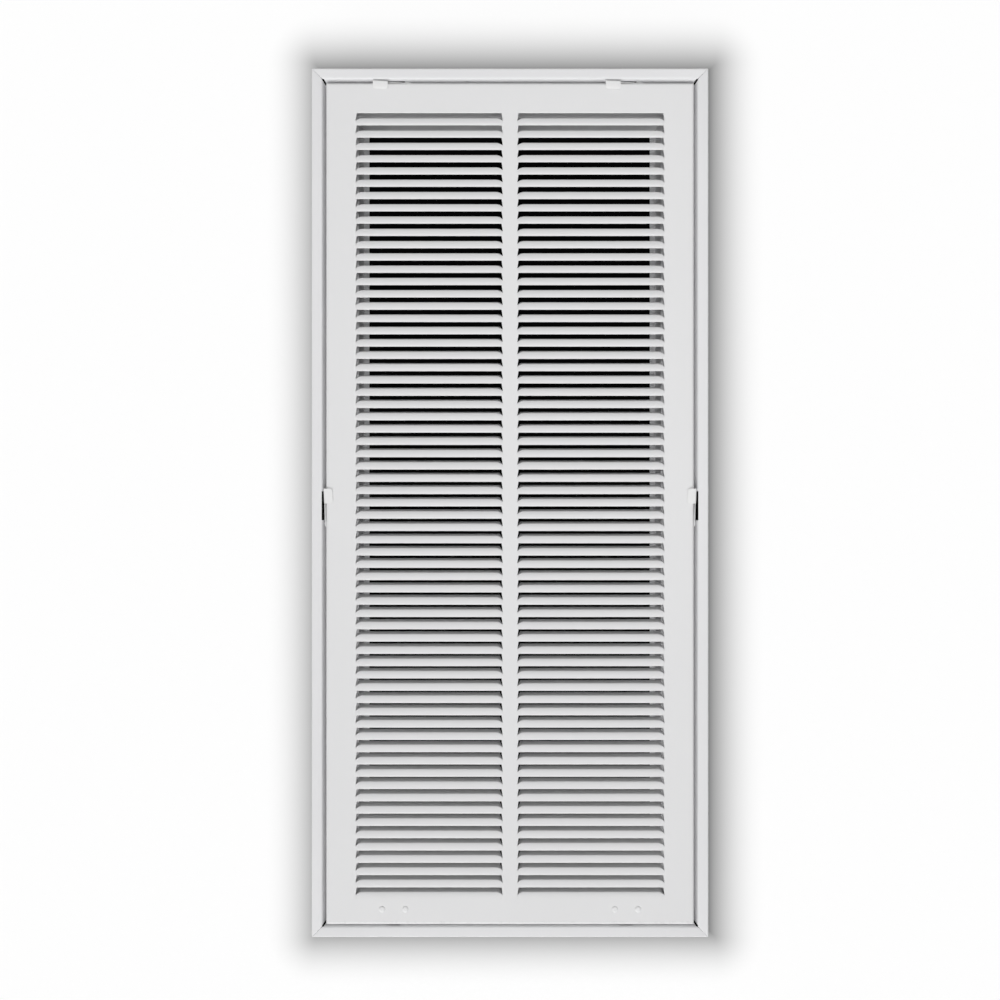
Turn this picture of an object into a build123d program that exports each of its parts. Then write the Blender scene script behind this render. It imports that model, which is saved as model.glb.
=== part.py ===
from build123d import *
import math
import os

# Return air filter grille: a louvered steel door, hinged at the foot of a mitred steel wall frame.
# +Z is up, the front faces -Y and +X is to the right as seen from the front.
# The origin is the middle of the wall plane, on which the back of the frame's floor lies.
os.makedirs("parts", exist_ok=True)

INCH = 25.4

# Overall size, named after the filter that the frame holds
FILTER_W = 10 * INCH
FILTER_H = 25 * INCH
OVERSIZE = 2.625 * INCH
OVERALL_W = FILTER_W + OVERSIZE
OVERALL_H = FILTER_H + OVERSIZE

# Folded frame section
FRAME_SHEET = 0.8
FLANGE_W = 9.5
FACE_DEPTH = 9.5
FILTER_UNDERSIZE = 0.5 * INCH
FILTER_CLEAR = 2.45
COLLAR_BACK = 31.0
LEDGE_W = 4.6
BEND_INSIDE = 0.4
MITRE_GAP = 0.1

# Frame corners: the collars of the top and bottom rails fold round those of the side rails
CORNER_TAB_LENGTH = 16.0
CORNER_TAB_MARGIN = 4.0
CORNER_RIVET_R = 1.6
SEAT_CLEAR = 0.05

# Lanced tabs in the collar that keep a filter in, and small holes beside them
FILTER_TAB_X = 55.5
FILTER_TAB_W = 16.0
FILTER_TAB_LENGTH = 6.0
FILTER_TAB_START = 2.2
FILTER_TAB_SLIT = 0.8
FILTER_TAB_ANGLE = 24.0
COLLAR_HOLE_X = 83.6
COLLAR_HOLE_R = 1.6

# Mounting screw holes in the floor of the side rails
SCREW_HOLE_R = 2.25
SCREW_END_INSET = 100.0

# Door pan
DOOR_SHEET = 0.7
DOOR_GAP = 2.2
DOOR_LIP = 7.2
DOOR_BEND_R = 1.1

# Louvers, two banks of lanced slots with a blade behind each
LOUVER_PITCH = 25 / 64 * INCH
SLOT_HEIGHT = 4.0
SIDE_MARGIN = 24.9
END_MARGIN = 24.5
CENTRE_BAR = 13.7
SLOT_FLARE = 1.0
SLOT_TIP_DROP = 2.4
SLOT_CURL = 4.4
BLADE_DEPTH = 8.5
BLADE_RISE = 2.0
BLADE_INSET = 1.5

# Hinges and top latches stand at this distance in from the sides of the frame
FITTING_INSET = 66.3

# Hinges
PIN_R = 0.8
PIN_CLEAR = 0.05
HINGE_SHEET = 0.6
KNUCKLE_CLEAR = 0.2
KNUCKLE_LIP_CLEAR = 0.3
KNUCKLE_SIDE_CLEAR = 0.3
HINGE_W = 28.0
MID_KNUCKLE_W = 10.0
DOOR_LEAF_RISE = 14.0
FRAME_LEAF_W = 26.0
FRAME_LEAF_RISE = 17.0
DOOR_RIVET_SPACING = 18.8
DOOR_RIVET_UP = 11.0
FRAME_RIVET_SPACING = 16.0
FRAME_RIVET_UP = 11.0
NOTCH_FRONT = 1.5
NOTCH_CLEAR = 0.5
PIN_HEAD_R = 1.2
PIN_HEAD = 0.5
PIN_END_CLEAR = 0.1

# Rivets
RIVET_R = 1.4
RIVET_HEAD_R = 2.5
RIVET_HEAD = 0.8
RIVET_TAIL_R = 2.1
RIVET_TAIL = 0.7
RIVET_SIDES = 12
HEAD_TAPER = 35

# Spring latches
LATCH_SHEET = 0.5
LATCH_LEAF_W = 4.0
LATCH_REACH = 21.5
LATCH_FOOT = 3.2
LATCH_FOOT_INNER = 2.5
LATCH_SEAT = 0.3
LATCH_WALL_CLEAR = 0.3
LATCH_DEPTH = 4.2
TAB_W = 12.1
TAB_LENGTH = 7.2
TAB_CORNER_R = 1.6
TAB_STAND_OFF = 0.5
LATCH_RIVET_R = 1.1
LATCH_RIVET_HEAD_R = 1.8
LATCH_RIVET_HEAD = 0.6
LATCH_RIVET_PLAY = 0.2
SIDE_LATCH_Z = -5.4
LATCH_SLOT_LENGTH = 23.5
LATCH_SLOT_WIDTH = 4.6
LATCH_SLOT_SHIFT = 3.0

# Worked out from the sizes above
BEND_OUTSIDE = BEND_INSIDE + FRAME_SHEET
COLLAR_HALF_W = (FILTER_W - FILTER_UNDERSIZE) / 2 + FILTER_CLEAR
COLLAR_HALF_H = (FILTER_H - FILTER_UNDERSIZE) / 2 + FILTER_CLEAR
COLLAR_INSET = OVERALL_W / 2 - COLLAR_HALF_W
COLLAR_DEPTH = FACE_DEPTH + COLLAR_BACK
DOOR_W = OVERALL_W - 2 * (FLANGE_W + DOOR_GAP)
DOOR_H = OVERALL_H - 2 * (FLANGE_W + DOOR_GAP)
SLOT_LENGTH = (DOOR_W - CENTRE_BAR) / 2 - SIDE_MARGIN
BANK_SPACING = CENTRE_BAR + SLOT_LENGTH
FITTING_X = OVERALL_W / 2 - FITTING_INSET
SCREW_SPACING_Z = OVERALL_H - 2 * SCREW_END_INSET
LOUVER_ROWS = int((DOOR_H - 2 * END_MARGIN) // LOUVER_PITCH) + 1
BORE_R = PIN_R + PIN_CLEAR
KNUCKLE_R = BORE_R + HINGE_SHEET
PIN_Y = -FACE_DEPTH + DOOR_SHEET + KNUCKLE_CLEAR + KNUCKLE_R
PIN_Z = -DOOR_H / 2 + DOOR_SHEET + KNUCKLE_LIP_CLEAR + KNUCKLE_R
LATCH_FREE_END = LATCH_REACH + TAB_W / 2
LATCH_LIFT = DOOR_GAP - LATCH_WALL_CLEAR - LATCH_SHEET - LATCH_SEAT
LATCH_ANGLE = math.degrees(math.atan(LATCH_LIFT / (LATCH_FREE_END - LATCH_FOOT_INNER)))

FACE_PLANE = Plane.XZ.offset(FACE_DEPTH)


def finish(part, name):
    """Label a piece and write it under its own name."""
    part.label = name
    export_step(part, f"parts/{name}.step")


def folded_rail(section, length):
    """Folded sheet run along the rail: lip, flange, step wall, floor, collar and ledge, mitred."""
    front = Plane(section.origin, x_dir=section.x_dir, z_dir=section.y_dir)
    floor = FACE_DEPTH - FRAME_SHEET
    ledge = COLLAR_DEPTH - FRAME_SHEET
    width = COLLAR_INSET + LEDGE_W
    half = length / 2 - MITRE_GAP
    with BuildPart() as rail:
        with BuildSketch(section):
            with BuildLine():
                FilletPolyline(
                    (0, FACE_DEPTH),
                    (0, 0),
                    (FLANGE_W, 0),
                    (FLANGE_W, floor),
                    (COLLAR_INSET, floor),
                    (COLLAR_INSET, ledge),
                    (width, ledge),
                    radius=(BEND_OUTSIDE, BEND_OUTSIDE, BEND_INSIDE, BEND_OUTSIDE, BEND_INSIDE),
                )
                offset(amount=FRAME_SHEET, side=Side.LEFT)
            make_face()
        extrude(amount=length / 2, both=True)
        with BuildSketch(front):
            Polygon((0, -half), (0, half), (width, half - width), (width, width - half), align=None)
        extrude(amount=COLLAR_DEPTH, mode=Mode.INTERSECT)
    return rail.part


def step_wall(section):
    """Plane on the hidden side of a rail's step wall: x along the rail, y towards the front."""
    origin = section.origin + section.x_dir * (FLANGE_W - FRAME_SHEET)
    return Plane(origin, x_dir=section.z_dir, z_dir=section.x_dir)


def rivet(place, outward, radius, grip, head_r, head_h, tail_r=0):
    """Rivet seated at a place: head outward, shank through the grip, then a set tail.

    So small a fastener is drawn with few sides, and so are the holes that it fills.
    """
    seat = Plane(place, x_dir=(outward[1], outward[2], outward[0]), z_dir=outward)
    with BuildPart() as body:
        with BuildSketch(seat):
            RegularPolygon(radius, RIVET_SIDES)
        extrude(amount=-grip)
        with BuildSketch(seat):
            RegularPolygon(head_r, RIVET_SIDES)
        extrude(amount=head_h, taper=HEAD_TAPER)
        if tail_r > 0:
            with BuildSketch(seat.offset(-grip)):
                RegularPolygon(tail_r, RIVET_SIDES)
            extrude(amount=-RIVET_TAIL)
    return body.part


# Top and bottom rails, with the collar's filter tabs and the tabs that fold round the side rails
for name, side in (("top", 1), ("bottom", -1)):
    section = Plane((0, -FACE_DEPTH, side * OVERALL_H / 2), x_dir=(0, 0, -side), z_dir=(side, 0, 0))
    wall = Plane((0, 0, side * COLLAR_HALF_H), x_dir=(side, 0, 0), z_dir=(0, 0, side))
    window_middle = FILTER_TAB_START + FILTER_TAB_LENGTH / 2
    fold_from = CORNER_TAB_MARGIN
    fold_to = COLLAR_BACK - CORNER_TAB_MARGIN
    fold_x = COLLAR_HALF_W + FRAME_SHEET + SEAT_CLEAR
    folded = folded_rail(section, OVERALL_W)
    with BuildPart() as rail:
        add(folded)
        if side > 0:
            with BuildSketch(step_wall(section)):
                with Locations((-LATCH_SLOT_SHIFT, -LATCH_DEPTH)):
                    with GridLocations(2 * FITTING_X, 1, 2, 1):
                        Rectangle(LATCH_SLOT_LENGTH, LATCH_SLOT_WIDTH)
            extrude(amount=FRAME_SHEET, mode=Mode.SUBTRACT)
        # Windows of the filter tabs, and the small holes
        with BuildSketch(wall):
            with Locations((-FILTER_TAB_X, window_middle), (FILTER_TAB_X, window_middle)):
                Rectangle(FILTER_TAB_W, FILTER_TAB_LENGTH)
            with Locations((-COLLAR_HOLE_X, window_middle), (COLLAR_HOLE_X, window_middle)):
                RegularPolygon(COLLAR_HOLE_R, RIVET_SIDES)
        extrude(amount=FRAME_SHEET, mode=Mode.SUBTRACT)
        # Filter tabs, bent into the opening about their front edge
        for place in (-FILTER_TAB_X, FILTER_TAB_X):
            lean = math.radians(FILTER_TAB_ANGLE)
            root = FILTER_TAB_START - FRAME_SHEET * math.sin(lean)
            tab_plane = Plane((place, root, side * COLLAR_HALF_H),
                              x_dir=(side, 0, 0), z_dir=(0, math.sin(lean), side * math.cos(lean)))
            with BuildSketch(tab_plane):
                Rectangle(FILTER_TAB_W - 2 * FILTER_TAB_SLIT, FILTER_TAB_LENGTH,
                          align=(Align.CENTER, Align.MIN))
            extrude(amount=FRAME_SHEET)
        # Ends of the collar that run past the side rails and fold round them
        for end in (-1, 1):
            with BuildSketch(Plane.XY.offset(side * COLLAR_HALF_H)):
                with Locations((end * (fold_x + FRAME_SHEET), fold_from)):
                    Rectangle(4 * FRAME_SHEET, fold_to - fold_from,
                              align=(Align.MAX if end > 0 else Align.MIN, Align.MIN))
            extrude(amount=side * FRAME_SHEET)
            with BuildSketch(Plane.YZ.offset(end * fold_x)):
                with Locations((fold_from, side * (COLLAR_HALF_H + FRAME_SHEET))):
                    Rectangle(fold_to - fold_from, CORNER_TAB_LENGTH,
                              align=(Align.MIN, Align.MAX if side > 0 else Align.MIN))
            extrude(amount=end * FRAME_SHEET)
            with BuildSketch(Plane.YZ.offset(end * fold_x)):
                with Locations((COLLAR_BACK / 2, side * (COLLAR_HALF_H - CORNER_TAB_LENGTH / 2))):
                    RegularPolygon(CORNER_RIVET_R + SEAT_CLEAR, RIVET_SIDES)
            extrude(amount=end * FRAME_SHEET, mode=Mode.SUBTRACT)
        if side < 0:
            with BuildSketch(Plane.XZ):
                for hinge_x in (-FITTING_X, FITTING_X):
                    with Locations((hinge_x, PIN_Z + FRAME_RIVET_UP)):
                        with GridLocations(FRAME_RIVET_SPACING, 1, 2, 1):
                            RegularPolygon(RIVET_R + SEAT_CLEAR, RIVET_SIDES)
            extrude(amount=FRAME_SHEET, mode=Mode.SUBTRACT)
    finish(rail.part, f"frame_rail_{name}")

# Side rails, with the screw holes and the trimmed ends of the collar
for name, side in (("left", -1), ("right", 1)):
    section = Plane((side * OVERALL_W / 2, -FACE_DEPTH, 0), x_dir=(-side, 0, 0), z_dir=(0, 0, -side))
    trim_from = CORNER_TAB_MARGIN - MITRE_GAP
    trim_to = COLLAR_BACK - CORNER_TAB_MARGIN + MITRE_GAP
    screw_x = side * (OVERALL_W / 2 - (FLANGE_W + COLLAR_INSET) / 2)
    folded = folded_rail(section, OVERALL_H)
    with BuildPart() as rail:
        add(folded)
        with BuildSketch(step_wall(section)):
            with Locations((-side * (SIDE_LATCH_Z + LATCH_SLOT_SHIFT), -LATCH_DEPTH)):
                Rectangle(LATCH_SLOT_LENGTH, LATCH_SLOT_WIDTH)
        extrude(amount=FRAME_SHEET, mode=Mode.SUBTRACT)
        for end in (-1, 1):
            with BuildSketch(Plane.YZ.offset(side * COLLAR_HALF_W)):
                with Locations((trim_from, end * (COLLAR_HALF_H - SEAT_CLEAR))):
                    Rectangle(trim_to - trim_from, 2 * FRAME_SHEET,
                              align=(Align.MIN, Align.MIN if end > 0 else Align.MAX))
                with Locations((COLLAR_BACK / 2, end * (COLLAR_HALF_H - CORNER_TAB_LENGTH / 2))):
                    RegularPolygon(CORNER_RIVET_R + SEAT_CLEAR, RIVET_SIDES)
            extrude(amount=side * FRAME_SHEET, mode=Mode.SUBTRACT)
        with BuildSketch(Plane.XZ):
            with Locations((screw_x, -SCREW_SPACING_Z / 2), (screw_x, SCREW_SPACING_Z / 2)):
                Circle(SCREW_HOLE_R)
        extrude(amount=FRAME_SHEET, mode=Mode.SUBTRACT)
    finish(rail.part, f"frame_rail_{name}")

# Rivets through the folded corner tabs, heads inside the collar
rivet_z = COLLAR_HALF_H - CORNER_TAB_LENGTH / 2
corner_set = [
    rivet((end * COLLAR_HALF_W, COLLAR_BACK / 2, side * rivet_z), (-end, 0, 0), CORNER_RIVET_R,
          2 * FRAME_SHEET + SEAT_CLEAR, RIVET_HEAD_R, RIVET_HEAD, RIVET_TAIL_R)
    for end in (-1, 1) for side in (-1, 1)
]
with BuildPart() as corner_rivets:
    add(corner_set)
finish(corner_rivets.part, "frame_corner_rivets")

# Door: a shallow pan with two banks of louvers, pressed and folded from one sheet
with BuildPart() as door:
    with BuildSketch(FACE_PLANE):
        Rectangle(DOOR_W, DOOR_H)
    extrude(amount=-DOOR_LIP)
    fillet(door.edges().group_by(Axis.Y)[0], DOOR_BEND_R)
    offset(amount=-DOOR_SHEET, openings=door.faces().sort_by(Axis.Y)[-1])
    # Rivet holes of the hinges, and notches in the lower lip round the frame's knuckles
    with BuildSketch(FACE_PLANE):
        with Locations((0, -DOOR_H / 2 + DOOR_RIVET_UP)):
            with GridLocations(2 * FITTING_X, 1, 2, 1):
                with GridLocations(DOOR_RIVET_SPACING, 1, 2, 1):
                    RegularPolygon(RIVET_R + SEAT_CLEAR, RIVET_SIDES)
    extrude(amount=-DOOR_SHEET, mode=Mode.SUBTRACT)
    with BuildSketch(Plane.XY.offset(-DOOR_H / 2)):
        with Locations((0, -FACE_DEPTH + NOTCH_FRONT)):
            with GridLocations(2 * FITTING_X, 1, 2, 1):
                Rectangle(MID_KNUCKLE_W + 2 * NOTCH_CLEAR, DOOR_LIP, align=(Align.CENTER, Align.MIN))
    extrude(amount=DOOR_SHEET, mode=Mode.SUBTRACT)
    # Rivet holes of the latches, in the upper lip and in the side lips
    with BuildSketch(Plane.XY.offset(DOOR_H / 2)):
        with Locations((LATCH_REACH / 2, -FACE_DEPTH + LATCH_DEPTH)):
            with GridLocations(2 * FITTING_X, 1, 2, 1):
                RegularPolygon(LATCH_RIVET_R + SEAT_CLEAR, RIVET_SIDES)
    extrude(amount=-DOOR_SHEET, mode=Mode.SUBTRACT)
    for side in (-1, 1):
        with BuildSketch(Plane.YZ.offset(side * DOOR_W / 2)):
            with Locations((-FACE_DEPTH + LATCH_DEPTH, SIDE_LATCH_Z - LATCH_REACH / 2)):
                RegularPolygon(LATCH_RIVET_R + SEAT_CLEAR, RIVET_SIDES)
        extrude(amount=-side * DOOR_SHEET, mode=Mode.SUBTRACT)
    # Slots: straight along the top, with the lower edge turned down to a point at each end
    with BuildSketch(FACE_PLANE):
        with GridLocations(BANK_SPACING, LOUVER_PITCH, 2, LOUVER_ROWS):
            Polygon(
                (-SLOT_LENGTH / 2, SLOT_HEIGHT / 2),
                (-SLOT_LENGTH / 2 - SLOT_FLARE, -SLOT_HEIGHT / 2 - SLOT_TIP_DROP),
                (-SLOT_LENGTH / 2 + SLOT_CURL, -SLOT_HEIGHT / 2),
                (SLOT_LENGTH / 2 - SLOT_CURL, -SLOT_HEIGHT / 2),
                (SLOT_LENGTH / 2 + SLOT_FLARE, -SLOT_HEIGHT / 2 - SLOT_TIP_DROP),
                (SLOT_LENGTH / 2, SLOT_HEIGHT / 2),
                align=None,
            )
    extrude(amount=-DOOR_SHEET, mode=Mode.SUBTRACT, clean=False)
    # Blades: each leaves the lower edge of its slot and runs back and a little up
    blade_drop = DOOR_SHEET * math.hypot(BLADE_DEPTH, BLADE_RISE) / BLADE_DEPTH
    for bank in (-1, 1):
        with BuildSketch(Plane.YZ.offset(bank * BANK_SPACING / 2)):
            with Locations((-FACE_DEPTH, -SLOT_HEIGHT / 2)):
                with GridLocations(1, LOUVER_PITCH, 1, LOUVER_ROWS):
                    Polygon(
                        (DOOR_SHEET / 2, 0),
                        (BLADE_DEPTH, BLADE_RISE),
                        (BLADE_DEPTH, BLADE_RISE - blade_drop),
                        (DOOR_SHEET / 2, -blade_drop),
                        align=None,
                    )
        extrude(amount=SLOT_LENGTH / 2 - BLADE_INSET, both=True, clean=False)
finish(door.part, "louvered_door")

# Hinges: a leaf behind the door's face, a leaf on the frame's floor, a pin and their rivets
for name, hinge_x in (("left", -FITTING_X), ("right", FITTING_X)):
    middle = Plane.YZ.offset(hinge_x)
    face_back = -FACE_DEPTH + DOOR_SHEET
    floor_front = -FRAME_SHEET
    with BuildPart() as door_leaf:
        with BuildSketch(middle):
            with Locations((PIN_Y, PIN_Z)):
                Circle(KNUCKLE_R)
            with Locations((face_back, PIN_Z)):
                Rectangle(HINGE_SHEET, DOOR_LEAF_RISE, align=Align.MIN)
            with Locations((PIN_Y, PIN_Z)):
                Circle(BORE_R, mode=Mode.SUBTRACT)
        extrude(amount=HINGE_W / 2, both=True)
        # Room for the frame's knuckle
        with BuildSketch(FACE_PLANE):
            with Locations((hinge_x, PIN_Z - 2 * KNUCKLE_R)):
                Rectangle(MID_KNUCKLE_W + 2 * KNUCKLE_SIDE_CLEAR, 3 * KNUCKLE_R + NOTCH_CLEAR,
                          align=(Align.CENTER, Align.MIN))
        extrude(amount=-DOOR_LIP, mode=Mode.SUBTRACT)
        with BuildSketch(FACE_PLANE):
            with Locations((hinge_x, -DOOR_H / 2 + DOOR_RIVET_UP)):
                with GridLocations(DOOR_RIVET_SPACING, 1, 2, 1):
                    RegularPolygon(RIVET_R + SEAT_CLEAR, RIVET_SIDES)
        extrude(amount=-DOOR_LIP, mode=Mode.SUBTRACT)
    finish(door_leaf.part, f"hinge_door_leaf_{name}")

    with BuildPart() as frame_leaf:
        with BuildSketch(middle):
            with Locations((PIN_Y, PIN_Z)):
                Circle(KNUCKLE_R)
            with Locations((PIN_Y, PIN_Z + BORE_R)):
                Rectangle(floor_front - PIN_Y, HINGE_SHEET, align=Align.MIN)
            with Locations((PIN_Y, PIN_Z)):
                Circle(BORE_R, mode=Mode.SUBTRACT)
        extrude(amount=MID_KNUCKLE_W / 2, both=True)
        with BuildSketch(middle):
            with Locations((floor_front, PIN_Z + BORE_R)):
                Rectangle(HINGE_SHEET, FRAME_LEAF_RISE, align=(Align.MAX, Align.MIN))
        extrude(amount=FRAME_LEAF_W / 2, both=True)
        with BuildSketch(Plane.XZ):
            with Locations((hinge_x, PIN_Z + FRAME_RIVET_UP)):
                with GridLocations(FRAME_RIVET_SPACING, 1, 2, 1):
                    RegularPolygon(RIVET_R + SEAT_CLEAR, RIVET_SIDES)
        extrude(amount=FACE_DEPTH, mode=Mode.SUBTRACT)
    finish(frame_leaf.part, f"hinge_frame_leaf_{name}")

    with BuildPart() as pin:
        with BuildSketch(middle):
            with Locations((PIN_Y, PIN_Z)):
                Circle(PIN_R)
        extrude(amount=HINGE_W / 2 + PIN_END_CLEAR, both=True)
        for end in (-1, 1):
            with BuildSketch(middle.offset(end * (HINGE_W / 2 + PIN_END_CLEAR))):
                with Locations((PIN_Y, PIN_Z)):
                    RegularPolygon(PIN_HEAD_R, RIVET_SIDES)
            extrude(amount=end * PIN_HEAD)
    finish(pin.part, f"hinge_pin_{name}")

    door_rivet_set = [
        rivet((hinge_x + step * DOOR_RIVET_SPACING / 2, -FACE_DEPTH, -DOOR_H / 2 + DOOR_RIVET_UP),
              (0, -1, 0), RIVET_R, DOOR_SHEET + HINGE_SHEET, RIVET_HEAD_R, RIVET_HEAD, RIVET_TAIL_R)
        for step in (-1, 1)
    ]
    with BuildPart() as door_rivets:
        add(door_rivet_set)
    finish(door_rivets.part, f"hinge_door_rivets_{name}")

    frame_rivet_set = [
        rivet((hinge_x + step * FRAME_RIVET_SPACING / 2, floor_front - HINGE_SHEET,
               PIN_Z + FRAME_RIVET_UP),
              (0, -1, 0), RIVET_R, FRAME_SHEET + HINGE_SHEET, RIVET_HEAD_R, RIVET_HEAD)
        for step in (-1, 1)
    ]
    with BuildPart() as frame_rivets:
        add(frame_rivet_set)
    finish(frame_rivets.part, f"hinge_frame_rivets_{name}")

# Spring latch about its rivet: x away from the finger tab, y back, z out from the door's edge
lean = math.radians(LATCH_ANGLE)
leaf_plane = Plane((-LATCH_FOOT_INNER, 0, LATCH_SEAT),
                   x_dir=(-math.cos(lean), 0, math.sin(lean)),
                   z_dir=(math.sin(lean), 0, math.cos(lean)))
leaf_length = (LATCH_FREE_END - LATCH_FOOT_INNER) / math.cos(lean)
tab_front = LATCH_DEPTH + TAB_STAND_OFF + LATCH_SHEET
with BuildPart() as latch:
    with BuildSketch(Plane.XY.offset(LATCH_SEAT)):
        with Locations((-LATCH_FOOT_INNER, 0)):
            Rectangle(LATCH_FOOT_INNER + LATCH_FOOT, LATCH_LEAF_W, align=(Align.MIN, Align.CENTER))
    extrude(amount=LATCH_SHEET)
    with BuildSketch(leaf_plane):
        Rectangle(leaf_length, LATCH_LEAF_W, align=(Align.MIN, Align.CENTER))
        with Locations((leaf_length, 0)):
            Rectangle(TAB_W, tab_front, align=(Align.MAX, Align.MIN))
    extrude(amount=LATCH_SHEET)
    tab_corner = (leaf_length - TAB_W / 2, tab_front, LATCH_SHEET)
    tab_plane = Plane(leaf_plane.from_local_coords(tab_corner),
                      x_dir=leaf_plane.x_dir, z_dir=(0, 1, 0))
    with BuildSketch(tab_plane) as tab_outline:
        Rectangle(TAB_W, TAB_LENGTH, align=(Align.CENTER, Align.MAX))
        fillet(tab_outline.vertices().sort_by(Axis.Y)[:2], TAB_CORNER_R)
    extrude(amount=LATCH_SHEET)
    with BuildSketch(Plane.XY.offset(LATCH_SEAT)):
        RegularPolygon(LATCH_RIVET_R + LATCH_RIVET_PLAY, RIVET_SIDES)
    extrude(amount=LATCH_SHEET, mode=Mode.SUBTRACT)

latch_y = -FACE_DEPTH + LATCH_DEPTH
rivet_step = LATCH_REACH / 2
side_rivet_z = SIDE_LATCH_Z - rivet_step
with BuildPart() as latch_top_left:
    with Locations((-FITTING_X + rivet_step, latch_y, DOOR_H / 2)):
        add(latch.part)
finish(latch_top_left.part, "latch_top_left")
with BuildPart() as latch_top_right:
    with Locations((FITTING_X + rivet_step, latch_y, DOOR_H / 2)):
        add(latch.part)
finish(latch_top_right.part, "latch_top_right")
with BuildPart() as latch_side_right:
    with Locations(Location((DOOR_W / 2, latch_y, side_rivet_z), (0, 90, 0))):
        add(latch.part)
finish(latch_side_right.part, "latch_side_right")
with BuildPart() as latch_side_left:
    mirror(latch_side_right.part, about=Plane.YZ)
finish(latch_side_left.part, "latch_side_left")

# Rivets that hold the four latches on the door's lips
stand = LATCH_SEAT + LATCH_SHEET + LATCH_RIVET_PLAY
latch_rivet_set = [
    rivet(place, outward, LATCH_RIVET_R, stand + DOOR_SHEET, LATCH_RIVET_HEAD_R, LATCH_RIVET_HEAD,
          LATCH_RIVET_HEAD_R)
    for place, outward in (
        ((-FITTING_X + rivet_step, latch_y, DOOR_H / 2 + stand), (0, 0, 1)),
        ((FITTING_X + rivet_step, latch_y, DOOR_H / 2 + stand), (0, 0, 1)),
        ((DOOR_W / 2 + stand, latch_y, side_rivet_z), (1, 0, 0)),
        ((-DOOR_W / 2 - stand, latch_y, side_rivet_z), (-1, 0, 0)),
    )
]
with BuildPart() as latch_rivets:
    add(latch_rivet_set)
finish(latch_rivets.part, "latch_rivets")
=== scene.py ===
# %% [markdown]
# # Return air filter grille
# A wall grille of white painted sheet steel: a mitred frame, and in it a louvered door that is hinged at
# its foot and held by four spring latches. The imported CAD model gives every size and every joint.
# It could all be drawn with its CAD solids alone, but bends, sheared edges and paint are what the eye
# knows sheet metal by, so the pieces that show are laid again here as thin curved skins.

# %% Load the frame
import math

import bpy
import numpy as np
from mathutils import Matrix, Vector


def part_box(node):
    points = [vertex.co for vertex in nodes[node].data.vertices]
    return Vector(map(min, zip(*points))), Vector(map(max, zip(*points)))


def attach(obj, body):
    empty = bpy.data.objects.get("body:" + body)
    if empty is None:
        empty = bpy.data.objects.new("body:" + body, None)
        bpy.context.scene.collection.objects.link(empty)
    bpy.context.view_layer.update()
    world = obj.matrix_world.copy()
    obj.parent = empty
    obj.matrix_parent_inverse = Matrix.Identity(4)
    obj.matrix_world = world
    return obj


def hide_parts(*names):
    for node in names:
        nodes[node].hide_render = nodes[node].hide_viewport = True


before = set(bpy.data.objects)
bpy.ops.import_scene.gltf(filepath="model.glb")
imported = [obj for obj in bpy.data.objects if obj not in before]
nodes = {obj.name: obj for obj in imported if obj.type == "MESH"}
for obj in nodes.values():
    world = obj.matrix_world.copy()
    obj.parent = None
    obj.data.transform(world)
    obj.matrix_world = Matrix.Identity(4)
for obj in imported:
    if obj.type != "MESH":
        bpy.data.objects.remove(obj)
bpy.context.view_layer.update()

# %% [markdown]
# ## Sizes
# The outlines of door and frame and the plane of the door's face are read from the CAD boxes, so a skin
# can't drift away from the solid that it stands for. Most other sizes are those of the CAD model, in
# millimetres. Where the photograph shows a form that the solids lack or have otherwise, the size follows
# the photograph: the lean of the step wall, the latch slots, the blades and the door's low rim. Only the
# last step of making a mesh turns millimetres to metres.

# %% Sizes in millimetres
MM = 0.001
door_low, door_high = [np.array(c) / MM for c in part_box("louvered_door")]
frame_low, frame_high = [np.array(c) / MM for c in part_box("frame_rail_top")]
DOOR_W = door_high[0] - door_low[0]
DOOR_H = door_high[2] - door_low[2]
FACE = door_low[1]
OVERALL_W = frame_high[0] - frame_low[0]
OVERALL_H = 2 * frame_high[2]
FITTING_INSET = 66.3
FITTING_X = OVERALL_W / 2 - FITTING_INSET
print("door", round(DOOR_W, 2), "x", round(DOOR_H, 2), "face at y", round(FACE, 2))
print("frame", round(OVERALL_W, 2), "x", round(OVERALL_H, 2))

# %% [markdown]
# ## Camera
# The photograph looks straight at the face from near the middle of its height, a little left of centre.
# From a short distance it looks past the blades of the upper rows and onto those of the lower rows, so
# the distance was found from how much of each blade shows from row to row: 860 mm from the face. The
# lens follows from the width that the picture takes in at the face, 807 mm, with no shift. The picture's
# own cut-out trims the lowest 2 mm of the frame, which its mitre lines give away, so the door and the
# louvers set the scale.

# %% Camera
scene = bpy.context.scene
VIEW_DISTANCE = 860.0
VIEW_HALF_WIDTH = 403.55
CAMERA_X = -8.1
CAMERA_Z = 2.2
SENSOR_WIDTH = 36.0
camera = bpy.data.objects.new("camera", bpy.data.cameras.new("camera"))
scene.collection.objects.link(camera)
camera.data.sensor_width = SENSOR_WIDTH
camera.data.lens = SENSOR_WIDTH / 2 * VIEW_DISTANCE / VIEW_HALF_WIDTH
camera.location = (CAMERA_X * MM, (FACE - VIEW_DISTANCE) * MM, CAMERA_Z * MM)
camera.rotation_euler = (math.radians(90), 0, 0)
scene.camera = camera
scene.view_settings.view_transform = "Standard"
print("lens", round(camera.data.lens, 2), "mm")

# %% [markdown]
# ## Wiring nodes
# A material is a small circuit. Setting each node by hand takes many lines, so short helpers place a node
# with its values, join sockets and do sums, and every material below reads as a list of steps.

# %% Helpers for shader nodes
def place(tree, kind, inputs=(), **settings):
    """A node of this kind in the tree, with settings as its own fields and inputs as its socket values."""
    node = tree.nodes.new(kind)
    for field, value in settings.items():
        setattr(node, field, value)
    for socket, value in dict(inputs).items():
        if isinstance(value, bpy.types.NodeSocket):
            tree.links.new(value, node.inputs[socket])
        else:
            node.inputs[socket].default_value = value
    return node


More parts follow.
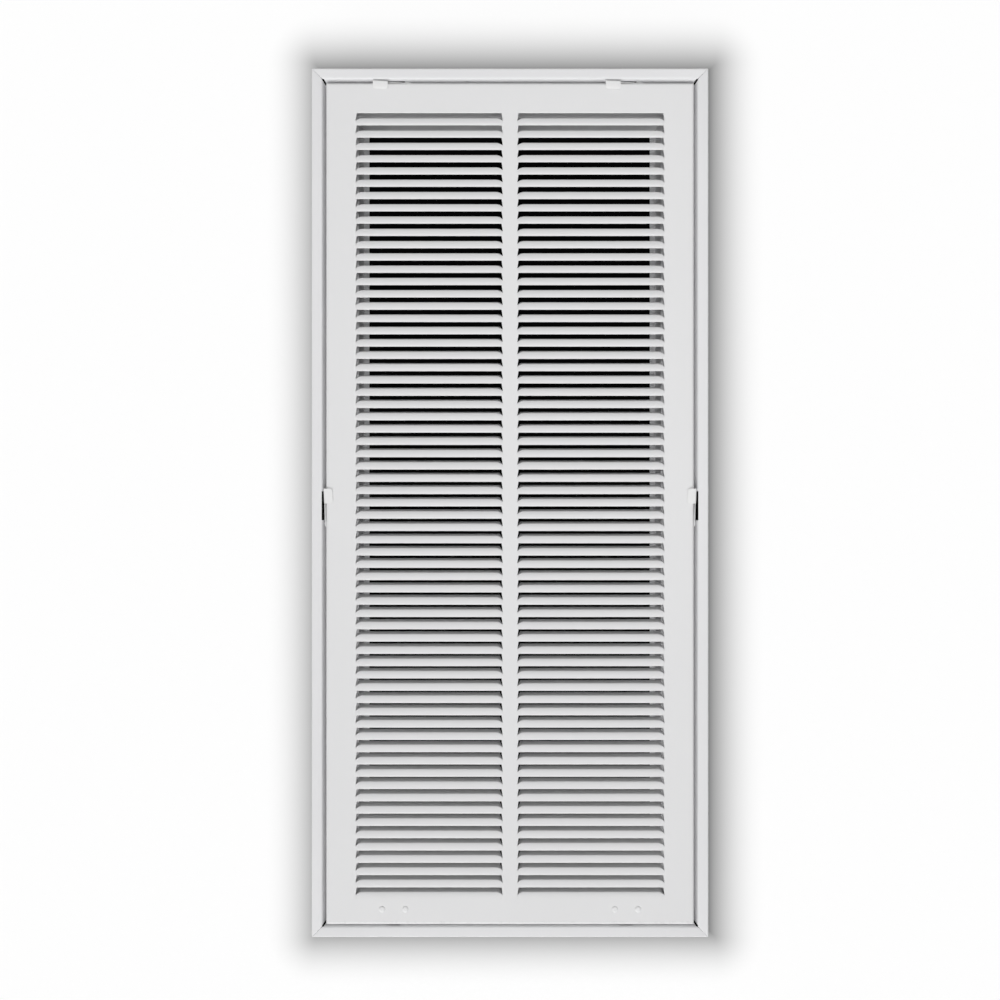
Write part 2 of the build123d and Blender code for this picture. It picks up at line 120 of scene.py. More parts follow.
def sums(tree, operation, a, b=0.0, c=0.0):
    """One step of arithmetic on two or three values or sockets."""
    return place(tree, "ShaderNodeMath", {0: a, 1: b, 2: c}, operation=operation).outputs[0]


def blank_material(name):
    """A material with nothing in its tree but the output."""
    material = bpy.data.materials.new(name)
    material.use_nodes = True
    material.node_tree.nodes.clear()
    return material, material.node_tree, material.node_tree.nodes.new("ShaderNodeOutputMaterial")


# %% [markdown]
# ## Room
# In the photograph the grille stands clear of a white ground by the depth of its collar, and a soft
# shadow shows all round it. So a white wall is put just behind the collar, and that soft shadow is painted
# into the colour that the camera sees on it, on top of the real shadow that the lamps cast. A black card
# covers the opening behind the louvers, because the photograph shows black there: it is painted shade, a
# dark sheet in place of the dark of a duct. Both are seen from the front only: from behind they let light
# and view through, so that the back of the grille can be looked at.

# %% Wall, card and floor
def one_sided(name, colour, seen_colour, seen_glow=0.0, painted_shadow=None, stops_lamps=1.0):
    """A flat paint that only its front shows. The camera sees seen_colour, of which the share seen_glow
    doesn't depend on the lamps, and other rays see colour. A painted shadow may be given as a socket of 0
    to 1, by which the camera sees it all darkened. With stops_lamps at 0 it takes shadows but casts none."""
    material, tree, output = blank_material(name)
    ray = place(tree, "ShaderNodeLightPath")
    side = place(tree, "ShaderNodeNewGeometry")
    # Painted shadow: the colour that the camera sees is darkened by this socket, not by any lamp
    shade = painted_shadow(tree) if painted_shadow else 1.0
    dimmed = place(tree, "ShaderNodeVectorMath", {0: seen_colour[:3], "Scale": shade}, operation="SCALE")
    lit = place(tree, "ShaderNodeVectorMath", {0: dimmed.outputs[0], "Scale": 1.0 - seen_glow},
                operation="SCALE")
    tint = place(tree, "ShaderNodeMix", {0: ray.outputs["Is Camera Ray"], 6: colour, 7: lit.outputs[0]},
                 data_type="RGBA")
    paint = place(tree, "ShaderNodeBsdfDiffuse", {"Color": tint.outputs[2]})
    strength = sums(tree, "MULTIPLY", ray.outputs["Is Camera Ray"], seen_glow)
    glow = place(tree, "ShaderNodeEmission", {"Color": dimmed.outputs[0], "Strength": strength})
    front = place(tree, "ShaderNodeAddShader", {0: paint.outputs[0], 1: glow.outputs[0]})
    clear = place(tree, "ShaderNodeBsdfTransparent")
    lets_by = sums(tree, "MULTIPLY", ray.outputs["Is Shadow Ray"], 1.0 - stops_lamps)
    see_through = sums(tree, "MAXIMUM", side.outputs["Backfacing"], lets_by)
    both = place(tree, "ShaderNodeMixShader", {0: see_through, 1: front.outputs[0], 2: clear.outputs[0]})
    tree.links.new(both.outputs[0], output.inputs["Surface"])
    return material


def stage_panel(name, corner, across, up, material):
    """A flat panel from a corner along two edges, in millimetres. Its front is where across x up points."""
    spots = np.array([corner, np.add(corner, across), np.add(np.add(corner, across), up),
                      np.add(corner, up)]) * MM
    mesh = bpy.data.meshes.new(name)
    mesh.from_pydata(spots, [], [(0, 1, 2, 3)])
    mesh.materials.append(material)
    panel = bpy.data.objects.new(name, mesh)
    scene.collection.objects.link(panel)


# Sizes of the shadow painted on the wall round the grille, and of the painted shade behind it
HALO_REACH = 44.0
HALO_DEPTH = 0.6
HALO_POWER = 1.9
HALO_RIGHT = 4.7
HALO_UP = 1.8
HALO_EDGE = 0.2
HALO_EDGE_FADE = 9.0
HALO_CORE = 0.02
HALO_CORE_FADE = 6.0
# How much larger the grille's outline is on the wall than at its face, as the camera sees it
SEEN_SPREAD = 1.048


def beyond(tree, value, middle, half):
    """How far a value lies outside the range from middle - half to middle + half. Negative inside it."""
    return sums(tree, "SUBTRACT", sums(tree, "ABSOLUTE", sums(tree, "SUBTRACT", value, middle)), half)


def fade_inside(tree, outside, fade, darkest):
    """1 outside, and falling evenly to the darkest value over this many millimetres inside."""
    return place(tree, "ShaderNodeMapRange",
                 {"Value": outside, "From Min": -fade * MM, "From Max": 0.0, "To Min": darkest}).outputs[0]


def wall_painted_shadow(tree):
    """A painted shadow: 1 away from the grille, darker near it: 1 - HALO_DEPTH (1 - distance /
    HALO_REACH)^HALO_POWER.

    The distance is that from the rectangle which the grille covers on the wall as the camera sees it,
    moved by HALO_RIGHT and HALO_UP, where the photograph's shadow is the wider. Inside, it falls to
    HALO_EDGE. Inside the same rectangle in its true place, which the grille hides from the camera in
    front, it also falls to HALO_CORE: painted shade, so the slots in the frame look black. From an angle
    that part of the wall comes into view as a black band.
    """
    where = place(tree, "ShaderNodeTexCoord").outputs["Object"]
    axes = place(tree, "ShaderNodeSeparateXYZ", {0: where})
    half_x, half_z = SEEN_SPREAD * OVERALL_W / 2 * MM, SEEN_SPREAD * OVERALL_H / 2 * MM
    out_x = beyond(tree, axes.outputs["X"], HALO_RIGHT * MM, half_x)
    out_z = beyond(tree, axes.outputs["Z"], HALO_UP * MM, half_z)
    squares = sums(tree, "ADD", sums(tree, "POWER", sums(tree, "MAXIMUM", out_x, 0.0), 2.0),
                   sums(tree, "POWER", sums(tree, "MAXIMUM", out_z, 0.0), 2.0))
    left = place(tree, "ShaderNodeMapRange", {"Value": sums(tree, "SQRT", squares),
                                              "From Min": HALO_REACH * MM, "From Max": 0.0}).outputs[0]
    around = sums(tree, "MULTIPLY_ADD", sums(tree, "POWER", left, HALO_POWER), -HALO_DEPTH, 1.0)
    behind = fade_inside(tree, sums(tree, "MAXIMUM", out_x, out_z), HALO_EDGE_FADE, HALO_EDGE)
    true_x = beyond(tree, axes.outputs["X"], 0.0, half_x)
    true_z = beyond(tree, axes.outputs["Z"], 0.0, half_z)
    hidden = fade_inside(tree, sums(tree, "MAXIMUM", true_x, true_z), HALO_CORE_FADE, HALO_CORE)
    return sums(tree, "MULTIPLY", sums(tree, "MULTIPLY", around, behind), hidden)


WALL_Y = 32.0
FLOOR_Z = -1600.0
ROOM_W = 3600.0
WALL_H = 3400.0
CARD_W = 252.0
CARD_H = 632.0
CARD_CLEAR = 0.4
# The wall's camera colour carries the painted shadow round the grille and the painted shade behind it
wall_paint = one_sided("wall_paint", (0.8, 0.8, 0.8, 1), (1, 1, 1, 1), seen_glow=0.85, painted_shadow=wall_painted_shadow)
# Painted shade: a black sheet behind the louvers in place of the dark of a duct
painted_duct_shade = one_sided("painted_duct_shade", (0.004, 0.004, 0.004, 1), (0.004, 0.004, 0.004, 1))
floor_paint = one_sided("floor_paint", (0.75, 0.75, 0.75, 1), (0.95, 0.95, 0.95, 1), seen_glow=0.7,
                        stops_lamps=0.0)
stage_panel("wall", (-ROOM_W / 2, WALL_Y, FLOOR_Z), (ROOM_W, 0, 0), (0, 0, WALL_H), wall_paint)
stage_panel("card", (-CARD_W / 2, WALL_Y - CARD_CLEAR, -CARD_H / 2), (CARD_W, 0, 0), (0, 0, CARD_H),
            painted_duct_shade)
stage_panel("floor", (-ROOM_W / 2, -ROOM_W, FLOOR_Z), (ROOM_W, 0, 0), (0, ROOM_W + WALL_Y, 0), floor_paint)
print("wall at y", WALL_Y, "card", CARD_W, "x", CARD_H)

# %% [markdown]
# ## Light
# In the photograph faces that look down are the light ones and those that look up are the dark ones, and
# the shadow falls up and to the right. So the main light comes from low in front, a little from the left,
# from far enough that the top and the foot of the grille get the same of it: a sun lamp with a wide angle
# gives that softness. A weaker one shines straight at the face, which the photograph shows by how light the
# floor of the gap round the door is. The rest is the even light of a white room. Together they bring a
# sheet that faces the camera to the value of its own paint, so no colour is lifted or sunk by the lamps.

# %% World and lamps
ROOM_LEVEL = 0.3
world = bpy.data.worlds.new("white_room")
scene.world = world
world.use_nodes = True
world.node_tree.nodes.clear()
sky = world.node_tree
seen = place(sky, "ShaderNodeLightPath")
glossy_or_camera = sums(sky, "MAXIMUM", seen.outputs["Is Camera Ray"], seen.outputs["Is Glossy Ray"])
shown_white = sums(sky, "MAXIMUM", glossy_or_camera, seen.outputs["Is Transmission Ray"])
room_light = place(sky, "ShaderNodeBackground", {"Color": (1, 1, 1, 1), "Strength": ROOM_LEVEL})
room_white = place(sky, "ShaderNodeBackground", {"Color": (1, 1, 1, 1), "Strength": 1.0})
room = place(sky, "ShaderNodeMixShader", {0: shown_white, 1: room_light.outputs[0], 2: room_white.outputs[0]})
place(sky, "ShaderNodeOutputWorld", {"Surface": room.outputs[0]})


def soft_sun(name, towards, strength, spread):
    """A far lamp that shines in a direction. Its spread in degrees is how wide it looks from the grille."""
    lamp = bpy.data.lights.new(name, "SUN")
    lamp.energy = strength
    lamp.angle = math.radians(spread)
    holder = bpy.data.objects.new(name, lamp)
    holder.rotation_euler = Vector(towards).to_track_quat("-Z", "Y").to_euler()
    scene.collection.objects.link(holder)


soft_sun("low_sun", (0.2, 0.62, 0.76), 2.1, 40)
soft_sun("front_sun", (-0.1, 1.0, -0.08), 0.85, 30)

# %% [markdown]
# ## Paint
# The steel is powder coated white. From close by such a coat has a fine orange peel, its tone drifts a
# little from place to place, and dust settles in a broken line where two edges meet at a narrow gap.
# Several finishes share this, so it is one node group with named inputs, placed in each material with
# values of its own. It reads Object coordinates, which are the real place in metres on every piece.

# %% Powder coat node group
def add_sockets(group, sockets):
    """Named sockets of a group: (name, direction, kind, value)."""
    for name, direction, kind, value in sockets:
        socket = group.interface.new_socket(name=name, in_out=direction, socket_type=kind)
        if value is not None:
            socket.default_value = value


coat = bpy.data.node_groups.new("powder_coat", "ShaderNodeTree")
add_sockets(coat, [
    ("Place", "INPUT", "NodeSocketVector", None),
    ("Paint", "INPUT", "NodeSocketColor", (0.75, 0.75, 0.76, 1)),
    ("Grime", "INPUT", "NodeSocketColor", (0.3, 0.29, 0.28, 1)),
    ("Peel size", "INPUT", "NodeSocketFloat", 1.6),
    ("Tone drift", "INPUT", "NodeSocketFloat", 0.03),
    ("Dust", "INPUT", "NodeSocketFloat", 0.5),
    ("Gap half width", "INPUT", "NodeSocketFloat", 0.149),
    ("Gap half height", "INPUT", "NodeSocketFloat", 0.339),
    ("Gap reach", "INPUT", "NodeSocketFloat", 0.0025),
    ("Colour", "OUTPUT", "NodeSocketColor", None),
    ("Roughness", "OUTPUT", "NodeSocketFloat", None),
    ("Peel", "OUTPUT", "NodeSocketFloat", None),
])
given = coat.nodes.new("NodeGroupInput").outputs
result = coat.nodes.new("NodeGroupOutput")
apart = place(coat, "ShaderNodeSeparateXYZ", {0: given["Place"]})

# Distance from the gap between door and frame: the larger of the two distances outside its rectangle
beyond_x = sums(coat, "SUBTRACT", sums(coat, "ABSOLUTE", apart.outputs["X"]), given["Gap half width"])
beyond_z = sums(coat, "SUBTRACT", sums(coat, "ABSOLUTE", apart.outputs["Z"]), given["Gap half height"])
from_gap = sums(coat, "ABSOLUTE", sums(coat, "MAXIMUM", beyond_x, beyond_z))
nearness = place(coat, "ShaderNodeMapRange",
                 {"Value": from_gap, "From Min": given["Gap reach"], "From Max": 0.0},
                 interpolation_type="SMOOTHSTEP").outputs[0]

# Broken patches of dust along that line
patches = place(coat, "ShaderNodeTexNoise", {"Vector": given["Place"], "Scale": 260.0, "Detail": 6.0,
                                             "Roughness": 0.65})
broken = place(coat, "ShaderNodeMapRange", {"Value": patches.outputs[0], "From Min": 0.5, "From Max": 0.72})
dust = sums(coat, "MULTIPLY", sums(coat, "MULTIPLY", nearness, broken.outputs[0]), given["Dust"])

# Slow drift of tone, then dust over it
clouds = place(coat, "ShaderNodeTexNoise", {"Vector": given["Place"], "Scale": 9.0, "Detail": 3.0})
drift = sums(coat, "MULTIPLY_ADD", sums(coat, "SUBTRACT", clouds.outputs[0], 0.5), given["Tone drift"], 1.0)
toned = place(coat, "ShaderNodeVectorMath", {0: given["Paint"], "Scale": drift}, operation="SCALE")
dusted = place(coat, "ShaderNodeMix", {0: dust, 6: toned.outputs[0], 7: given["Grime"]}, data_type="RGBA")
coat.links.new(dusted.outputs[2], result.inputs["Colour"])

# Orange peel, and a sheen that is a little uneven with it
frequency = sums(coat, "DIVIDE", 1000.0, given["Peel size"])
peel = place(coat, "ShaderNodeTexNoise", {"Vector": given["Place"], "Scale": frequency, "Detail": 2.0})
dull = sums(coat, "MULTIPLY_ADD", peel.outputs[0], 0.12, 0.36)
coat.links.new(sums(coat, "MULTIPLY_ADD", dust, 0.3, dull), result.inputs["Roughness"])
coat.links.new(peel.outputs[0], result.inputs["Peel"])
print("powder coat group has", len(coat.nodes), "nodes")


# %% Materials made with it
def painted(name, paint, peel_size=1.6, drift=0.03, dust=0.5):
    """A powder coated finish: the group feeds colour, roughness and bump of one plain shader."""
    material, tree, output = blank_material(name)
    where = place(tree, "ShaderNodeTexCoord").outputs["Object"]
    group = place(tree, "ShaderNodeGroup", node_tree=coat)
    tree.links.new(where, group.inputs["Place"])
    group.inputs["Paint"].default_value = (*paint, 1)
    group.inputs["Peel size"].default_value = peel_size
    group.inputs["Tone drift"].default_value = drift
    group.inputs["Dust"].default_value = dust
    bump = place(tree, "ShaderNodeBump", {"Strength": 0.25, "Distance": 0.00012,
                                          "Height": group.outputs["Peel"]})
    shader = place(tree, "ShaderNodeBsdfPrincipled",
                   {"Base Color": group.outputs["Colour"], "Roughness": group.outputs["Roughness"],
                    "Normal": bump.outputs[0], "Metallic": 0.0, "IOR": 1.46})
    tree.links.new(shader.outputs[0], output.inputs["Surface"])
    return material


finishes = {
    "frame_paint": painted("frame_paint", (0.75, 0.75, 0.76), dust=0.3),
    "door_paint": painted("door_paint", (0.745, 0.745, 0.75), dust=0.2),
    "latch_paint": painted("latch_paint", (0.78, 0.78, 0.78), peel_size=1.1, dust=0.0),
    "rivet_paint": painted("rivet_paint", (0.77, 0.77, 0.775), peel_size=0.9, dust=0.0),
}

# %% [markdown]
# ## Zinc plated steel
# Hinge leaves, pins and the rivets that hold the hinge leaves on the frame aren't painted; the frame's
# corner rivets are. Zinc plate is a soft grey metal with a fine rolled grain along the sheet and cloudy
# bright and dull patches. The grain is a noise that is
# stretched along X by a Mapping node, and the patches change the roughness more than the colour.

# %% Zinc material
def zinc_finish():
    """Metal with a stretched grain for bump and clouds for roughness."""
    material, tree, output = blank_material("zinc_steel")
    where = place(tree, "ShaderNodeTexCoord").outputs["Object"]
    drawn = place(tree, "ShaderNodeMapping", {"Vector": where, "Scale": (250.0, 4000.0, 4000.0)})
    grain = place(tree, "ShaderNodeTexNoise", {"Vector": drawn.outputs[0], "Scale": 1.0, "Detail": 3.0})
    clouds = place(tree, "ShaderNodeTexNoise", {"Vector": where, "Scale": 180.0, "Detail": 4.0})
    tone = place(tree, "ShaderNodeMapRange", {"Value": clouds.outputs[0], "To Min": 0.42, "To Max": 0.62})
    grey = place(tree, "ShaderNodeCombineColor",
                 {0: tone.outputs[0], 1: tone.outputs[0], 2: sums(tree, "MULTIPLY", tone.outputs[0], 1.03)})
    dull = place(tree, "ShaderNodeMapRange", {"Value": clouds.outputs[0], "To Min": 0.28, "To Max": 0.5})
    bump = place(tree, "ShaderNodeBump", {"Strength": 0.3, "Distance": 0.00005, "Height": grain.outputs[0]})
    shader = place(tree, "ShaderNodeBsdfPrincipled",
                   {"Base Color": grey.outputs[0], "Roughness": dull.outputs[0], "Metallic": 1.0,
                    "Normal": bump.outputs[0]})
    tree.links.new(shader.outputs[0], output.inputs["Surface"])
    return material


finishes["zinc_steel"] = zinc_finish()

# %% Finishes on the CAD nodes
def finish_for(node_name):
    """The finish of a CAD node, by what the node is."""
    if node_name.startswith("frame_rail"):
        return "frame_paint"
    if node_name == "louvered_door":
        return "door_paint"
    if node_name in ("frame_corner_rivets", "latch_rivets") or node_name.startswith("hinge_door_rivets"):
        return "rivet_paint"
    if node_name.startswith("latch_"):
        return "latch_paint"
    return "zinc_steel"


for node_name, node in nodes.items():
    for material_slot in node.material_slots:
        material_slot.material = finishes[finish_for(node_name)]
print("finished", len(nodes), "nodes")

# %% [markdown]
# ## Skins of sheet metal
# Pressed sheet is one thin wall with bends, so its visible side is laid as a surface: a grid of points,
# with cells left out where there is a slot. The Solidify modifier then gives it the thickness of the
# sheet, away from the side that shows. Its result is kept as the mesh, so edges can be marked sharp where
# the sheet is cut and smooth where it is bent.

# %% Helpers for grids
def grid_quads(across, along, keep=None):
    """Faces of a grid whose point (i, j) has number i * along + j. Left out where keep[i, j] is False."""
    i, j = np.meshgrid(np.arange(across - 1), np.arange(along - 1), indexing="ij")
    first = i * along + j
    quads = np.stack([first, first + along, first + along + 1, first + 1], axis=-1)
    return quads.reshape(-1, 4) if keep is None else quads[keep]


def lay_mesh(name, points, quads, finish, thickness=0.0, sharp=42.0):
    """A piece with these points, in millimetres, and faces, thickened away from the side that shows."""
    mesh = bpy.data.meshes.new(name)
    mesh.from_pydata(points * MM, [], quads)
    mesh.materials.append(finishes[finish])
    piece = bpy.data.objects.new(name, mesh)
    scene.collection.objects.link(piece)
    if thickness:
        wall = piece.modifiers.new("sheet", "SOLIDIFY")
        wall.thickness = thickness * MM
        wall.offset = -1.0
        thick = bpy.data.meshes.new_from_object(piece.evaluated_get(bpy.context.evaluated_depsgraph_get()))
        piece.modifiers.clear()
        piece.data = thick
        thick.name = name
    piece.data.polygons.foreach_set("use_smooth", np.ones(len(piece.data.polygons), dtype=bool))
    piece.data.set_sharp_from_angle(angle=math.radians(sharp))
    piece.data.update()
    print(name, len(piece.data.polygons), "faces")
    return piece


# %% [markdown]
# ## Frame rails
# Each rail is one strip of sheet folded five times: an outer lip, the flange that shows, the step wall
# beside the door, the floor that lies on the wall, the collar that runs back into the duct, and the ledge
# that the filter rests on. The four rails meet in mitres. Such a piece is a profile carried along a
# straight path, so one function lays all four: across the section it follows the folds, with a larger
# radius at the flange's inner edge, where the photograph shows a soft roll, and the step wall leans in
# towards its foot, which is the light band that shows beside the door. At each end the section stops at
# the mitre, and the last millimetre sinks a little, which draws the fine 45 degree lines.

# %% Section of a rail
FRAME_SHEET = 0.8
FLANGE_W = 9.5
FLOOR_DEPTH = 8.7
COLLAR_INSET = 37.2375
LEDGE_DEPTH = 39.7
LEDGE_W = 4.6
FACE_TO_WALL = 9.5
MITRE_GAP = 0.1
FLANGE_ROLL = 1.6
WALL_TOP = 8.7
WALL_FOOT = 10.6


def folded_path(corners, radii, steps=5):
    """Points of a path with an arc at each corner.

    An arc of radius r starts r tan(turn / 2) before its corner. Its points are the centre plus r times
    the direction from the centre, turned evenly from the first leg's side to the second's.
    """
    parts = [[corners[0]]]
    for before, corner, after, radius in zip(corners, corners[1:], corners[2:], radii):
        a = (corner - before) / np.linalg.norm(corner - before)
        b = (after - corner) / np.linalg.norm(after - corner)
        turn = math.atan2(a[0] * b[1] - a[1] * b[0], a @ b)
        start = corner - a * radius * math.tan(abs(turn) / 2)
        inward = np.array([-a[1], a[0]]) * math.copysign(1, turn)
        angle = np.linspace(0, abs(turn), steps + 1)[:, None]
        parts.append(start + radius * (inward * (1 - np.cos(angle)) + a * np.sin(angle)))
    parts.append([corners[-1]])
    return np.concatenate(parts)


def with_stops(path, axis, values, lowest, highest):
    """The path with extra points where its coordinate on an axis has each value, on the run whose other
    coordinate lies between lowest and highest."""
    for value in values:
        middle = (path[:-1, 1 - axis] + path[1:, 1 - axis]) / 2
        crossed = (path[:-1, axis] - value) * (path[1:, axis] - value) < -1e-9
        at = np.flatnonzero(crossed & (middle > lowest) & (middle < highest))[0]
        share = (value - path[at, axis]) / (path[at + 1, axis] - path[at, axis])
        path = np.insert(path, at + 1, path[at] + share * (path[at + 1] - path[at]), axis=0)
    return path


FOLD_RADII = (1.2, FLANGE_ROLL, 0.4, 1.2, 0.4)
FLANGE_STOPS = (1.9, WALL_TOP - FLANGE_ROLL - 0.4)
SLOT_BAND = (3.4, 6.5)
TAB_BAND = (FACE_TO_WALL + 2.2, FACE_TO_WALL + 8.2)
SCREW_INSET = 23.37
SCREW_PATCH = 4.0
SCREW_BAND = (SCREW_INSET - SCREW_PATCH, SCREW_INSET + SCREW_PATCH)
section = folded_path(np.array([
    (0, FACE_TO_WALL), (0, 0), (WALL_TOP, 0), (WALL_FOOT, FLOOR_DEPTH), (COLLAR_INSET, FLOOR_DEPTH),
    (COLLAR_INSET, LEDGE_DEPTH), (COLLAR_INSET + LEDGE_W, LEDGE_DEPTH)]), FOLD_RADII)
for axis, values, lowest, highest in (
        (0, FLANGE_STOPS, -1, 1), (1, SLOT_BAND, WALL_TOP, WALL_FOOT),
        (0, SCREW_BAND, FLOOR_DEPTH - 0.1, FLOOR_DEPTH + 0.1),
        (1, TAB_BAND, COLLAR_INSET - 0.1, COLLAR_INSET + 0.1)):
    section = with_stops(section, axis, values, lowest, highest)
strip_width = np.linalg.norm(np.diff(section, axis=0), axis=1).sum()
print("section points", len(section), "width of the strip", round(float(strip_width), 1), "mm")

# %% A rail carried along its path
END_STOPS = np.array([0, 0.15, 0.4, 1.0])
END_SINK = 0.2
NEAR_FLAT = 1.2
CELL_SLACK = 0.05


def rail_grid(half_length, stops):
    """Places along the rail and sunk section points: (along, inset, depth) for stops by section points.

    At a fixed stop the place is the stop itself. Near an end it is half_length less the inset, the mitre
    gap and the distance e from the mitre. There flange and step wall sink by END_SINK (1 - e / last stop)^2
    along their normal, which is the section's tangent turned a quarter.
    """
    inset, depth = section.T
    ends = half_length - inset[None, :] - MITRE_GAP - END_STOPS[:, None]
    fixed = np.broadcast_to(np.sort(stops)[:, None], (len(stops), len(inset)))
    along = np.concatenate([-ends, fixed, ends[::-1]])
    sink = END_SINK * (1 - END_STOPS / END_STOPS[-1])**2
    sink = np.concatenate([sink, np.zeros(len(stops)), sink[::-1]])[:, None] * (inset < WALL_FOOT + 0.5)
    tangent = np.gradient(section, axis=0)
    tangent /= np.linalg.norm(tangent, axis=1, keepdims=True)
    return np.stack([along, inset[None, :] - sink * tangent[None, :, 1],
                     depth[None, :] + sink * tangent[None, :, 0]], axis=-1)


def cells_within(grid, along, section_range, axis, flat=None):
    """Cells of a rail's grid whose middle lies in a range along the rail and in one across its section."""
    middle = (grid[:-1, :-1] + grid[1:, :-1] + grid[:-1, 1:] + grid[1:, 1:]) / 4
    chosen = (middle[..., 0] > along[0]) & (middle[..., 0] < along[1])
    chosen &= (middle[..., axis] > section_range[0]) & (middle[..., axis] < section_range[1])
    if flat is not None:
        chosen &= np.abs(middle[..., 3 - axis] - flat) < NEAR_FLAT
    return chosen


def span(middle, half):
    """The range about a middle that chooses the cells within half of it, a little narrower than they are."""
    return middle - half + CELL_SLACK, middle + half - CELL_SLACK


def ring_patch(centre, half, radius, sides=24):
    """A square with a round hole, in its own plane: a ring of points on the square, one on the circle.

    The square's point at an angle is the circle's unit point divided by its larger coordinate.
    """
    angle = np.arange(sides) / sides * 2 * np.pi
    unit = np.stack([np.cos(angle), np.sin(angle)], axis=-1)
    square = unit / np.abs(unit).max(axis=1, keepdims=True) * half
    points = np.concatenate([unit * radius, square]) + centre
    k = np.arange(sides)
    after = (k + 1) % sides
    return points, np.stack([k, after, after + sides, k + sides], axis=-1)[:, ::-1]


# %% Sizes of the cuts and tabs in the rails
TOP_SLOT_SHIFT = 3.0
SIDE_SLOT_Z = -2.4
SIDE_SLOT_FRONT = 0.3
SLOT_REACH = 11.75
WINDOW_X = 55.5
WINDOW_REACH = 8.0
HOLE_X = 83.6
HOLE_RADIUS = 1.6
SCREW_FROM_END = 100.0
SCREW_RADIUS = 2.25
BENT_ACROSS = np.array([-7.2, -6.9, 0, 6.9, 7.2])
BENT_REACH = np.array([0, 0.8, 3.4, 6.0])
BENT_LEAN = 24.0
BENT_NARROWS = 0.93
CORNER_OUT = np.array([122.9, 123.7, 123.9, 123.95, 123.95, 123.95])
CORNER_DOWN = COLLAR_INSET + np.array([0, 0, 0.05, 0.25, 14.2, 15.2])
CORNER_BACK = FACE_TO_WALL + np.array([4.0, 5.0, 26.0, 27.0])
CORNER_CUT = 1.0
print("latch slots", 2 * SLOT_REACH, "long, screw holes", 2 * SCREW_RADIUS, "wide")


# %% Lay the four rails
def rail_place(rail_points, side):
    """A rail's (along, inset, depth) as x, y, z for the side that it is on."""
    along, inset, depth = np.moveaxis(rail_points, -1, 0)
    y = FACE + depth
    if side in ("top", "bottom"):
        return np.stack([along, y, (OVERALL_H / 2 - inset) * (1 if side == "top" else -1)], axis=-1)
    return np.stack([(OVERALL_W / 2 - inset) * (1 if side == "right" else -1), y, along], axis=-1)


def corner_tab(end):
    """The collar's end that runs past the side rail and folds round it, for the rail's end at -1 or 1.

    A path of six points out and round the fold, by four places in depth, with its two corners cut off.
    """
    depth = CORNER_BACK + 0 * CORNER_OUT[:, None]
    depth[-1, [0, -1]] += (CORNER_CUT, -CORNER_CUT)
    tab = np.stack([end * CORNER_OUT[:, None] + 0 * depth, CORNER_DOWN[:, None] + 0 * depth, depth],
                   axis=-1)[::end]
    return tab.reshape(-1, 3), grid_quads(*tab.shape[:2])


def bent_tab(middle):
    """The tab that is lanced from a window in the collar and bent into the opening.

    A place at distance r from the window's front edge lies r sin(lean) further in and r cos(lean) further
    back. The lean grows from 0 to BENT_LEAN degrees over the first step, and the free end is narrower.
    """
    lean = np.radians(BENT_LEAN) * np.clip(BENT_REACH / BENT_REACH[1], 0, 1)
    width = BENT_ACROSS[:, None] * np.ones(len(BENT_REACH))
    width[[0, -1], -1] *= BENT_NARROWS
    tab = np.stack([middle + width, COLLAR_INSET + np.sin(lean) * BENT_REACH + 0 * width,
                    TAB_BAND[0] + np.cos(lean) * BENT_REACH + 0 * width], axis=-1)
    return tab.reshape(-1, 3), grid_quads(*tab.shape[:2])


